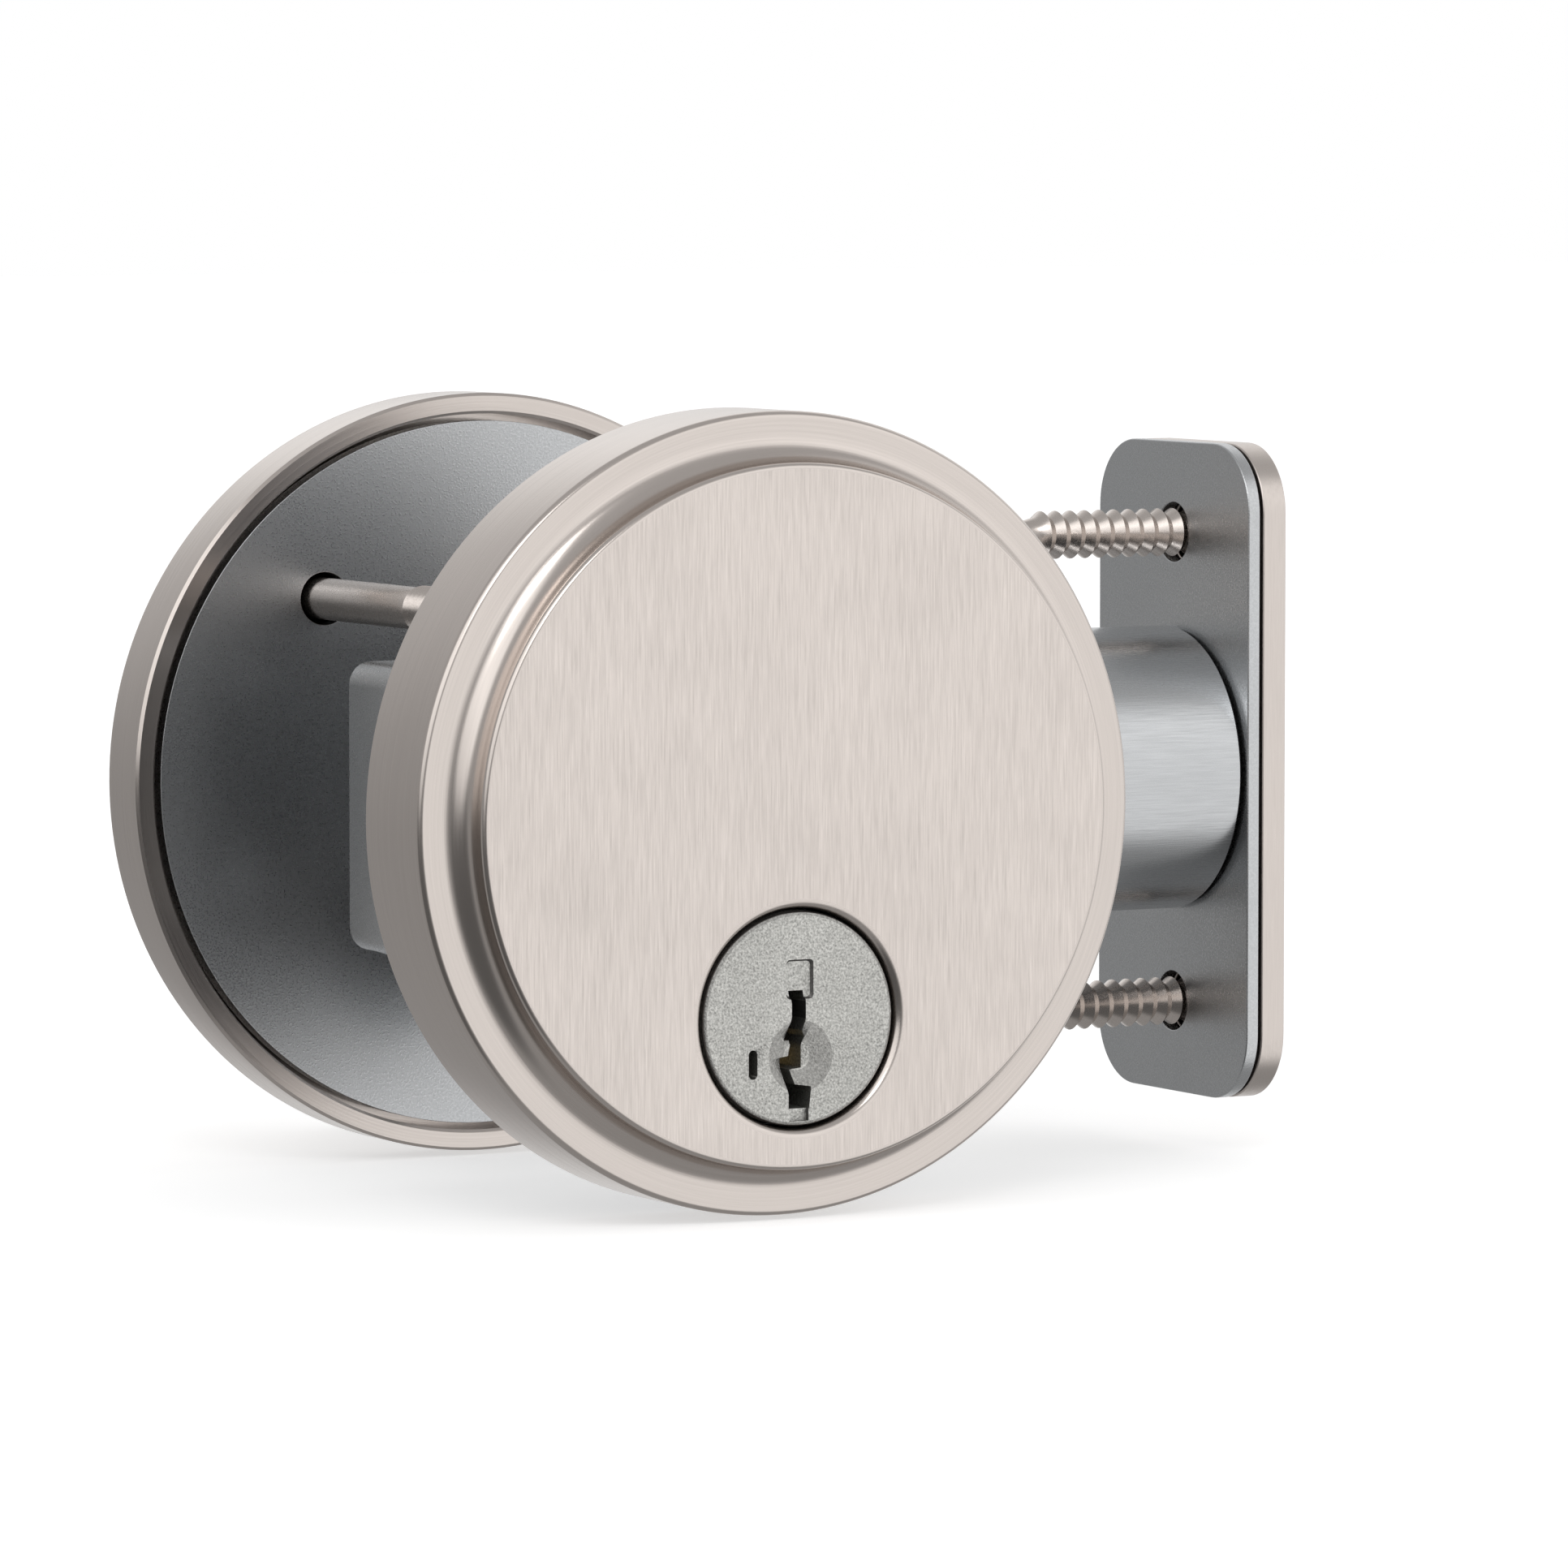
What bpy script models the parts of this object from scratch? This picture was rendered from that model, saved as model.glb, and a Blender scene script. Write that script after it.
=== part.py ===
"""Round single-cylinder deadbolt door lock, complete as fitted to a door 44.5 mm thick.

Frame: metres, +Z up. The origin lies on the axis of the door's 54 mm cross bore, in the plane
of the door's outer face. -Y is outside, +Y is inside, and +X is towards the door's edge.
Lengths below are millimetres and MM turns them into metres.
"""
import math

import bmesh
import bpy
from mathutils import Vector

MM = 0.001
GAP = 0.3                    # clearance between neighbouring pieces

# Door preparation
DOOR = 44.5                  # door thickness
BACKSET = 60.3               # cross bore axis to the door's edge
MID_Y = DOOR / 2             # the bolt lies in the middle of the door

# Roses
ROSE_R = 33.0
ROSE_H = 13.2                # outer rose, from the door to its flat face
INNER_ROSE_H = 9.5           # inner rose
FACE_R = 28.4                # edge of the flat face
LIP_R = 0.5                  # rounding between the flat face and the step
COVE_R = 2.4                 # hollow at the foot of the step
SHOULDER_R = 0.6             # rounding of the outer edge
STEP = 3.4                   # flat face down to the outer ring
FACE_WALL = 1.6
SIDE_WALL = 1.8

# Key cylinder, set low in the rose
TURN_Z = -16.5               # axis shared by the key plug, the cam and the thumbturn
PLUG_R = 8.75
PLUG_RECESS = 0.35           # plug's face below the rose's face
PLUG_END = 9.0               # end of the plug's full diameter
JOURNAL_R = 7.0              # plug's rear end, which carries the clip
JOURNAL_END = 12.8
PLUG_HOLE_R = PLUG_R + GAP
HOLE_LIP_R = 0.8             # rounding of the rose round the plug
HOUSING_END = 10.0
LOBE_R = 10.35               # housing round the plug, inside the cross bore

# Wafers and sidebar inside the plug
WAFERS = 5
WAFER_PITCH = 3.3
WAFER_FIRST_Y = -6.0
WAFER_T = 1.2
CHAMBER_T = 1.8
SIDEBAR_Y = (-6.5, 7.5)

# Torque blade and cam
BLADE_W = 2.0
BLADE_H = 7.0
HUB_R = 6.0
THROW = 25.4                 # travel of the bolt
ARM_R = THROW / 2 / math.sin(math.radians(45))
FINGER_R = 1.7
FINGER_PLAY = 0.8            # each side of the finger, in the tail's fork

# Bolt
BOLT_W = 16.0                # across the door
BOLT_H = 18.0
BOLT_REAR = 22.0
TUBE_R = 12.4
TUBE_WALL = 1.0
COLLAR_R = 13.4
TUBE_START = 21.8
CASE_T = 15.0                # bolt case, across the door
CASE_WALL = 1.5
CASE_X = (-20.0, 21.5)
CASE_Z = (-13.5, 11.0)
CASE_LOBE_R = 8.5
RIVETS = [(-16.0, -9.8), (14.5, -9.8), (-16.0, 8.0), (14.5, 8.3)]
PLATE_W = 25.4
PLATE_H = 57.15
FACEPLATE_T = 2.3
BACKING_T = 1.2
PLATE_SCREW_Z = 20.6
ROLLER_Y = MID_Y - 2.75
ROLLER_R = 2.75

# Through bolts
POST_X = 15.0
POST_Z = 15.5
POST_R = 3.4
SCREW_R = 2.0

FINE = 48
COARSE = 24


def clear_scene():
    for thing in list(bpy.data.objects):
        bpy.data.objects.remove(thing, do_unlink=True)


def finish(name, colour, roughness, metallic=1.0):
    material = bpy.data.materials.new(name)
    material.use_nodes = True
    shader = material.node_tree.nodes["Principled BSDF"]
    shader.inputs["Base Color"].default_value = (*colour, 1.0)
    shader.inputs["Roughness"].default_value = roughness
    shader.inputs["Metallic"].default_value = metallic
    return material


def add_object(name, bm, pivot, material):
    """Turn a bmesh in world millimetres into an object whose origin is the pivot."""
    bmesh.ops.recalc_face_normals(bm, faces=bm.faces)
    bmesh.ops.translate(bm, vec=-Vector(pivot), verts=bm.verts)
    bmesh.ops.scale(bm, vec=(MM, MM, MM), verts=bm.verts)
    mesh = bpy.data.meshes.new(name)
    bm.to_mesh(mesh)
    bm.free()
    mesh.shade_smooth()
    mesh.set_sharp_from_angle(angle=math.radians(30))
    thing = bpy.data.objects.new(name, mesh)
    thing.location = Vector(pivot) * MM
    bpy.context.scene.collection.objects.link(thing)
    if material:
        mesh.materials.append(material)
    return thing


def combine(thing, tool, operation):
    """Keep the tool as a hidden child and join it, or cut it out, with a Boolean."""
    tool.parent = thing
    tool.location = tool.location - thing.location
    tool.hide_render = True
    tool.display_type = "WIRE"
    boolean = thing.modifiers.new(tool.name, "BOOLEAN")
    boolean.operation = operation
    boolean.solver = "EXACT"
    boolean.object = tool
    return thing


def cut(thing, *tools):
    for tool in tools:
        combine(thing, tool, "DIFFERENCE")
    return thing


def join(thing, *tools):
    for tool in tools:
        combine(thing, tool, "UNION")
    return thing


def placed(axis, along, first, second):
    """Point with one coordinate along the axis and two across it, in X, Y, Z order."""
    point = {"X": (along, first, second), "Y": (first, along, second), "Z": (first, second, along)}
    return Vector(point[axis])


def turned(name, profile, centre=(0, 0), axis="Y", material=None, steps=COARSE, pivot=(0, 0, 0)):
    """Turn a closed profile of (radius, position along the axis) about the axis.

    A profile that starts and ends on the axis makes a solid; any other makes a ring.
    """
    bm = bmesh.new()
    solid = profile[0][0] == 0 and profile[-1][0] == 0
    verts = [bm.verts.new(placed(axis, along, radius, 0)) for radius, along in profile]
    count = len(verts) - 1 if solid else len(verts)
    edges = [bm.edges.new((verts[i], verts[(i + 1) % len(verts)])) for i in range(count)]
    direction = placed(axis, 1, 0, 0)
    bmesh.ops.spin(
        bm, geom=verts + edges, cent=(0, 0, 0), axis=direction, angle=2 * math.pi,
        steps=steps, use_merge=True,
    )
    bmesh.ops.remove_doubles(bm, verts=bm.verts, dist=0.001)
    bmesh.ops.translate(bm, vec=placed(axis, 0, *centre), verts=bm.verts)
    return add_object(name, bm, pivot, material)


def rod(name, radius, low, high, centre=(0, 0), axis="Y", material=None, steps=COARSE,
        pivot=(0, 0, 0)):
    profile = [(0, low), (radius, low), (radius, high), (0, high)]
    return turned(name, profile, centre, axis, material, steps, pivot)


def tube(name, inner, outer, low, high, centre=(0, 0), axis="Y", material=None, steps=COARSE,
         pivot=(0, 0, 0)):
    profile = [(inner, low), (outer, low), (outer, high), (inner, high)]
    return turned(name, profile, centre, axis, material, steps, pivot)


def prism(name, outline, low, high, axis="Y", material=None, pivot=(0, 0, 0)):
    """Extrude a flat outline along the axis."""
    bm = bmesh.new()
    face = bm.faces.new([bm.verts.new(placed(axis, low, *point)) for point in outline])
    extruded = bmesh.ops.extrude_face_region(bm, geom=[face])["geom"]
    moved = [item for item in extruded if isinstance(item, bmesh.types.BMVert)]
    bmesh.ops.translate(bm, vec=placed(axis, high - low, 0, 0), verts=moved)
    return add_object(name, bm, pivot, material)


def block(name, xs, ys, zs, material=None, pivot=(0, 0, 0)):
    return prism(name, rectangle(xs, zs), ys[0], ys[1], "Y", material, pivot)


def rectangle(first, second):
    return [
        (first[0], second[0]),
        (first[1], second[0]),
        (first[1], second[1]),
        (first[0], second[1]),
    ]


def arc(centre, radius, start, end, steps):
    points = []
    for i in range(steps + 1):
        angle = math.radians(start + (end - start) * i / steps)
        points.append((centre[0] + radius * math.cos(angle), centre[1] + radius * math.sin(angle)))
    return points


def rounded(first, second, radius, steps=4):
    """Rectangle with round corners."""
    corners = [
        (first[1] - radius, second[0] + radius, -90),
        (first[1] - radius, second[1] - radius, 0),
        (first[0] + radius, second[1] - radius, 90),
        (first[0] + radius, second[0] + radius, 180),
    ]
    outline = []
    for x, y, start in corners:
        outline += arc((x, y), radius, start, start + 90, steps)
    return outline


def rose_profile(height):
    """Section of a rose as (radius, height above the door)."""
    ring = height - STEP
    side = FACE_R + LIP_R
    outer = [(ROSE_R, 0)]
    outer += arc((ROSE_R - SHOULDER_R, ring - SHOULDER_R), SHOULDER_R, 0, 90, 2)
    outer += arc((side + COVE_R, ring + COVE_R), COVE_R, 270, 180, 4)
    outer += arc((FACE_R, height - LIP_R), LIP_R, 0, 90, 2)
    inner_side = ROSE_R - SIDE_WALL
    ledge = ring - FACE_WALL
    inner = [
        (0, height),
        (0, height - FACE_WALL),
        (FACE_R - 0.4, height - FACE_WALL),
        (FACE_R - 0.4, ledge),
        (inner_side, ledge),
        (inner_side, 0),
    ]
    return outer, inner


def rose(name, height, door_face, outward, material):
    """Shell of revolution, open towards the door."""
    outer, inner = rose_profile(height)
    bm = bmesh.new()
    points = [inner[1]] + inner[2:] + outer + [inner[0]]
    verts = [bm.verts.new((r, door_face + outward * h, 0)) for r, h in points]
    edges = [bm.edges.new((verts[i], verts[i + 1])) for i in range(len(verts) - 1)]
    bmesh.ops.spin(
        bm, geom=verts + edges, cent=(0, 0, 0), axis=(0, 1, 0), angle=2 * math.pi,
        steps=FINE, use_merge=True,
    )
    bmesh.ops.remove_doubles(bm, verts=bm.verts, dist=0.001)
    return add_object(name, bm, (0, 0, 0), material)


def at_plug(outline):
    """Move an outline drawn about the plug's centre to its place."""
    return [(x, z + TURN_Z) for x, z in outline]


KEYWAY = at_plug([
    (-0.8, 2.3), (-0.6, 1.2), (-0.6, 0.1), (-1.1, -1.5), (-1.1, -1.8), (-0.6, -1.8), (-0.4, -2.2),
    (-0.6, -3.1), (-1.5, -3.2), (-1.5, -4.0), (-0.9, -6.2), (-0.9, -7.4), (1.0, -7.4), (1.2, -5.6),
    (-0.2, -5.4), (-0.5, -4.2), (0.6, -4.1), (0.6, -2.3), (0.8, -1.5), (0.5, -1.0), (0.7, 0.0),
    (0.7, 1.4), (0.55, 2.3),
])

clear_scene()

NICKEL = finish("satin_nickel", (0.66, 0.60, 0.56), 0.34)
PLUG_NICKEL = finish("blasted_nickel", (0.52, 0.51, 0.49), 0.5)
ZINC = finish("cast_zinc", (0.42, 0.42, 0.43), 0.55)
STEEL = finish("plated_steel", (0.55, 0.55, 0.56), 0.35)
HARD_STEEL = finish("hardened_steel", (0.2, 0.2, 0.21), 0.4)
BRASS = finish("brass", (0.7, 0.5, 0.2), 0.35)
SPRING_WIRE = finish("spring_wire", (0.4, 0.4, 0.42), 0.3)

AXIS = (0, 0, TURN_Z)
ON_AXIS = (0, TURN_Z)
FACE_Y = -ROSE_H
INNER_FACE_Y = DOOR + INNER_ROSE_H


def exterior_side():
    outer = rose("exterior_rose", ROSE_H, 0, -1, NICKEL)
    lip = arc((PLUG_HOLE_R + HOLE_LIP_R, FACE_Y + HOLE_LIP_R), HOLE_LIP_R, 270, 180, 3)
    seat = [(0, FACE_Y - 1), (PLUG_HOLE_R + HOLE_LIP_R, FACE_Y - 1)] + lip
    seat += [(PLUG_HOLE_R, FACE_Y + 3), (0, FACE_Y + 3)]
    cut(outer, turned("rose_plug_hole", seat, ON_AXIS, steps=FINE))

    guard_low = FACE_Y + FACE_WALL + GAP
    ledge_y = -(ROSE_H - STEP - FACE_WALL)
    guard = rod("guard_plate", FACE_R - 0.8, guard_low, ledge_y - GAP, material=HARD_STEEL, steps=48)
    cut(guard, rod("guard_hole", PLUG_HOLE_R, FACE_Y, 0, ON_AXIS, steps=32))

    flange_r = ROSE_R - SIDE_WALL - 0.4
    housing = rod("cylinder_housing", flange_r, ledge_y + GAP, -GAP, material=ZINC, steps=48)
    join(housing, rod("housing_lobe", LOBE_R, -2, HOUSING_END, ON_AXIS, steps=40))
    groove = block(
        "sidebar_groove", (-PLUG_R - 0.9, 0), (SIDEBAR_Y[0] - GAP, HOUSING_END + 1),
        (TURN_Z - 1.4, TURN_Z + 1.4),
    )
    cut(housing, rod("housing_bore", PLUG_HOLE_R, FACE_Y, HOUSING_END + 3, ON_AXIS, steps=40), groove)
    for side, x in (("left", -POST_X), ("right", POST_X)):
        cut(housing, rod(f"post_hole_{side}", POST_R + GAP, -6, 3, (x, POST_Z)))
        post = rod(f"mounting_post_{side}", POST_R, -5.7, 12.5, (x, POST_Z), material=STEEL)
        cut(post, rod(f"post_thread_{side}", SCREW_R + GAP, -2, 14, (x, POST_Z), steps=16))


def key_plug():
    front = FACE_Y + PLUG_RECESS
    profile = [
        (0, front), (PLUG_R - 0.25, front), (PLUG_R, front + 0.25), (PLUG_R, PLUG_END),
        (JOURNAL_R, PLUG_END), (JOURNAL_R, 10.2), (6.0, 10.2), (6.0, 11.6), (JOURNAL_R, 11.6),
        (JOURNAL_R, JOURNAL_END), (0, JOURNAL_END),
    ]
    plug = turned("key_plug", profile, ON_AXIS, "Y", PLUG_NICKEL, 48, AXIS)
    dimple = [(0, front - 1), (4.6, front - 1), (3.0, front), (1.2, front + 1.1), (0, front + 1.1)]
    cut(
        plug,
        turned("key_dimple", dimple, (0.2, TURN_Z - 3.1), pivot=AXIS),
        prism("key_recess", at_plug(rounded((-1.1, 1.4), (1.6, 4.85), 0.4)), front - 1, front + 0.5,
              pivot=AXIS),
        prism("key_notch", at_plug(rectangle((-0.85, 0.95), (-8.4, -7.2))), front - 1, front + 0.45,
              pivot=AXIS),
        prism("keyway", KEYWAY, front - 1, PLUG_END - 0.6, pivot=AXIS),
        prism("reset_slot", at_plug(rounded((-4.6, -3.8), (-4.8, -2.4), 0.35, 3)), front - 1,
              front + 6, pivot=AXIS),
        block("sidebar_slot", (-PLUG_R - 2, -6.1), (SIDEBAR_Y[0] - GAP, SIDEBAR_Y[1] + GAP),
              (TURN_Z - 1.3, TURN_Z + 1.3), pivot=AXIS),
        block("blade_socket", (-BLADE_W / 2 - GAP, BLADE_W / 2 + GAP), (PLUG_END + 0.2, 14),
              (TURN_Z - BLADE_H / 2 - GAP, TURN_Z + BLADE_H / 2 + GAP), pivot=AXIS),
    )
    for i in range(WAFERS):
        y = WAFER_FIRST_Y + WAFER_PITCH * i
        slot = (y - CHAMBER_T / 2, y + CHAMBER_T / 2)
        chamber = block(f"chamber_{i + 1}", (-2.6, 2.6), slot, (TURN_Z - 6.6, TURN_Z + 7.6), pivot=AXIS)
        pocket = block(f"pocket_{i + 1}", (2.4, 5.1), slot, (TURN_Z - 2.9, TURN_Z + 6.2), pivot=AXIS)
        cut(plug, chamber, pocket)
    clip = tube("plug_clip", 6.3, 9.8, 10.3, 11.3, ON_AXIS, "Y", SPRING_WIRE, 32, AXIS)
    cut(clip, block("clip_mouth", (-4.5, 4.5), (9, 13), (TURN_Z - 12, TURN_Z), pivot=AXIS))
    block("plug_sidebar", (-8.5, -6.4), SIDEBAR_Y, (TURN_Z - 1.0, TURN_Z + 1.0), BRASS,
          (-6.4, 0, TURN_Z))


def wafer(number):
    """One wafer, with the window that the key passes through, a side lug and its spring."""
    y = WAFER_FIRST_Y + WAFER_PITCH * (number - 1)
    pivot = (0, y, TURN_Z)
    thick = (y - WAFER_T / 2, y + WAFER_T / 2)
    outline = at_plug([
        (-2.3, -4.3), (2.3, -4.3), (2.3, -0.5), (4.8, -0.5), (4.8, 0.6), (2.3, 0.6), (2.3, 7.2),
        (-2.3, 7.2),
    ])
    plate = prism(f"wafer_{number}", outline, *thick, "Y", BRASS, pivot)
    window = at_plug(rectangle((-1.8, 1.5), (-2.9, 3.0)))
    cut(plate, prism(f"wafer_window_{number}", window, y - 2, y + 2, pivot=pivot))
    coil_spring(f"wafer_spring_{number}", (3.75, y), TURN_Z + 0.9 + 0.13, TURN_Z + 5.9 - 0.13)


def coil_spring(name, centre, low, high, radius=0.42, wire=0.13, turns=5, per_turn=6):
    curve = bpy.data.curves.new(name, "CURVE")
    curve.dimensions = "3D"
    curve.bevel_depth = wire * MM
    curve.bevel_resolution = 0
    curve.use_fill_caps = True
    spline = curve.splines.new("POLY")
    count = turns * per_turn
    spline.points.add(count)
    for i in range(count + 1):
        angle = 2 * math.pi * i / per_turn
        x = radius * math.cos(angle)
        y = radius * math.sin(angle)
        z = (high - low) * i / count
        spline.points[i].co = (x * MM, y * MM, z * MM, 1)
    curve.materials.append(SPRING_WIRE)
    spring = bpy.data.objects.new(name, curve)
    spring.location = Vector((centre[0], centre[1], low)) * MM
    bpy.context.scene.collection.objects.link(spring)


def turning_train():
    """Torque blade, cam and thumbturn, which turn as one on the low axis."""
    block("torque_blade", (-BLADE_W / 2, BLADE_W / 2), (PLUG_END + 0.5, INNER_FACE_Y + 5),
          (TURN_Z - BLADE_H / 2, TURN_Z + BLADE_H / 2), STEEL, AXIS)
    cam_hub()
    thumbturn()


def blade_slot(name, low, high):
    return block(
        name, (-BLADE_W / 2 - GAP, BLADE_W / 2 + GAP), (low, high),
        (TURN_Z - BLADE_H / 2 - GAP, TURN_Z + BLADE_H / 2 + GAP), pivot=AXIS,
    )


def cam_hub():
    """Hub with an arm that points 45 degrees back at rest and carries a round finger."""
    half = CASE_T / 2
    cam = rod("bolt_cam", HUB_R, MID_Y - half - 0.2, MID_Y + half + 0.2, ON_AXIS, "Y", STEEL, 32, AXIS)
    reach = ARM_R * math.sin(math.radians(45))
    shank = 0.9 * math.sin(math.radians(45))
    tip = (-reach, TURN_Z + reach)
    outline = [
        (-shank, TURN_Z - shank),
        (shank, TURN_Z + shank),
        (tip[0] + shank, tip[1] + shank),
        (tip[0] - shank, tip[1] - shank),
    ]
    arm_y = (MID_Y - 2.2, MID_Y + 2.2)
    join(
        cam,
        prism("cam_arm", outline, *arm_y, pivot=AXIS),
        rod("cam_finger", FINGER_R, arm_y[0] - 0.01, arm_y[1] + 0.01, tip, steps=20, pivot=AXIS),
    )
    cut(cam, blade_slot("cam_slot", 10, 35))


def thumbturn():
    seat = INNER_FACE_Y + GAP
    profile = [
        (0, INNER_FACE_Y - 7.0), (6.0, INNER_FACE_Y - 7.0), (6.0, INNER_FACE_Y - 5.6),
        (5.0, INNER_FACE_Y - 5.6), (5.0, INNER_FACE_Y - 4.1), (6.0, INNER_FACE_Y - 4.1),
        (6.0, seat), (9.5, seat), (9.5, seat + 2.0), (8.7, seat + 3.0), (0, seat + 3.0),
    ]
    turn = turned("thumbturn", profile, ON_AXIS, "Y", NICKEL, 32, AXIS)
    wing = prism("thumbturn_wing", rounded((-3.0, 3.0), (TURN_Z - 14, TURN_Z + 14), 2.9, 5), seat + 1.5,
                 seat + 17, pivot=AXIS)
    bevel = wing.modifiers.new("wing_edge", "BEVEL")
    bevel.width = 1.0 * MM
    bevel.segments = 2
    bevel.limit_method = "ANGLE"
    bevel.angle_limit = math.radians(50)
    join(turn, wing)
    cut(turn, blade_slot("thumbturn_socket", INNER_FACE_Y - 9, INNER_FACE_Y + 5.4))
    clip_y = (INNER_FACE_Y - 5.3, INNER_FACE_Y - 4.4)
    clip = tube("thumbturn_clip", 5.3, 8.2, *clip_y, ON_AXIS, "Y", SPRING_WIRE, 32, AXIS)
    cut(clip, block("turn_clip_mouth", (-3.5, 3.5), (40, 60), (TURN_Z - 10, TURN_Z), pivot=AXIS))
    tube("thumbturn_washer", 6.3, 8.8, INNER_FACE_Y - 3.5, INNER_FACE_Y - 2.2, ON_AXIS, "Y", STEEL, 32,
         AXIS)


def sliding_bolt():
    """Bolt bar, flush with the faceplate at rest, with the tail that the cam drives."""
    bar = prism(
        "bolt_bar",
        rounded((MID_Y - BOLT_W / 2, MID_Y + BOLT_W / 2), (-BOLT_H / 2, BOLT_H / 2), 3.0, 3),
        BOLT_REAR, BACKSET, "X", STEEL,
    )
    strip_y = (MID_Y + 2.8, MID_Y + 4.8)
    pocket = block("tail_pocket", (BOLT_REAR - 1, BOLT_REAR + 10), (strip_y[0] - GAP, strip_y[1] + GAP),
                   (-3.3, 4.3))
    roller = rod("roller_hole", ROLLER_R + GAP, BOLT_REAR - 1, BACKSET - 4.5, (ROLLER_Y, 0), "X")
    pin_y = (MID_Y + 0.6, MID_Y + 7.0)
    pin_at = (BOLT_REAR + 5, 0.5)
    pin_hole = rod("tail_pin_hole", 1.5 + GAP, pin_y[0] - GAP, MID_Y + 12, pin_at, steps=16)
    cut(bar, pocket, roller, pin_hole)
    rod("bolt_tail_pin", 1.5, *pin_y, pin_at, "Y", HARD_STEEL, 16)
    rod("bolt_roller_pin", ROLLER_R, BOLT_REAR + 2.3, BACKSET - 5.0, (ROLLER_Y, 0), "X", HARD_STEEL, 24,
        (BOLT_REAR, ROLLER_Y, 0))
    rod("roller_pin_cap", ROLLER_R, BOLT_REAR, BOLT_REAR + 2.0, (ROLLER_Y, 0), "X", STEEL, 24)

    fork_x = (-THROW / 2 - 4.6, -THROW / 2 + 4.6)
    tail = block("bolt_tail", (fork_x[0], BOLT_REAR + 9.5), strip_y, (-3.0, 4.0), STEEL)
    fork = block("tail_fork", fork_x, (MID_Y - 2.8, strip_y[1] - 0.5), (-4.0, 6.0))
    slot = FINGER_R + FINGER_PLAY
    fork_slot = block("fork_slot", (-THROW / 2 - slot, -THROW / 2 + slot), (MID_Y - 4, MID_Y + 2.5),
                      (-6.0, 4.2))
    join(tail, fork)
    cut(tail, fork_slot, rod("tail_eye", 1.5 + GAP, MID_Y, MID_Y + 8, pin_at, steps=16))


def case_outline(inset):
    """Box with a round lobe below it for the cam's hub."""
    radius = CASE_LOBE_R - inset
    side = [
        (radius, CASE_Z[0] + inset),
        (CASE_X[1] - inset, CASE_Z[0] + inset),
        (CASE_X[1] - inset, CASE_Z[1] - inset),
        (CASE_X[0] + inset, CASE_Z[1] - inset),
        (CASE_X[0] + inset, CASE_Z[0] + inset),
        (-radius, CASE_Z[0] + inset),
    ]
    return side + arc(ON_AXIS, radius, 180, 360, 12)


def bolt_case():
    """Two pressed shells that meet in the door's mid plane, and the rivets that hold them."""
    half = CASE_T / 2
    for name, outer_y, inner_y in (
        ("bolt_case_outer", MID_Y - half, MID_Y - GAP / 2),
        ("bolt_case_inner", MID_Y + half, MID_Y + GAP / 2),
    ):
        wall = math.copysign(CASE_WALL, inner_y - outer_y)
        low, high = sorted((outer_y, inner_y))
        shell = prism(name, case_outline(0), low, high, "Y", STEEL)
        low, high = sorted((outer_y + wall, inner_y + wall))
        hollow = prism(name + "_hollow", case_outline(CASE_WALL), low, high)
        hub = rod(name + "_hub_hole", HUB_R + GAP, MID_Y - 20, MID_Y + 20, ON_AXIS, steps=32)
        mouth = block(name + "_mouth", (15, 30), (MID_Y - 4, MID_Y + 5.5), (-4, 5))
        cut(shell, hollow, hub, mouth)
        for number, place in enumerate(RIVETS, 1):
            cut(shell, rod(f"{name}_rivet_{number}", 1.0 + GAP, MID_Y - 20, MID_Y + 20, place, steps=12))
    head = 0.9
    for number, place in enumerate(RIVETS, 1):
        profile = [
            (0, MID_Y - half - GAP - head), (1.8, MID_Y - half - GAP - head), (1.8, MID_Y - half - GAP),
            (1.0, MID_Y - half - GAP), (1.0, MID_Y + half + GAP), (1.8, MID_Y + half + GAP),
            (1.8, MID_Y + half + GAP + head), (0, MID_Y + half + GAP + head),
        ]
        turned(f"case_rivet_{number}", profile, place, "Y", STEEL, 12)


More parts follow.
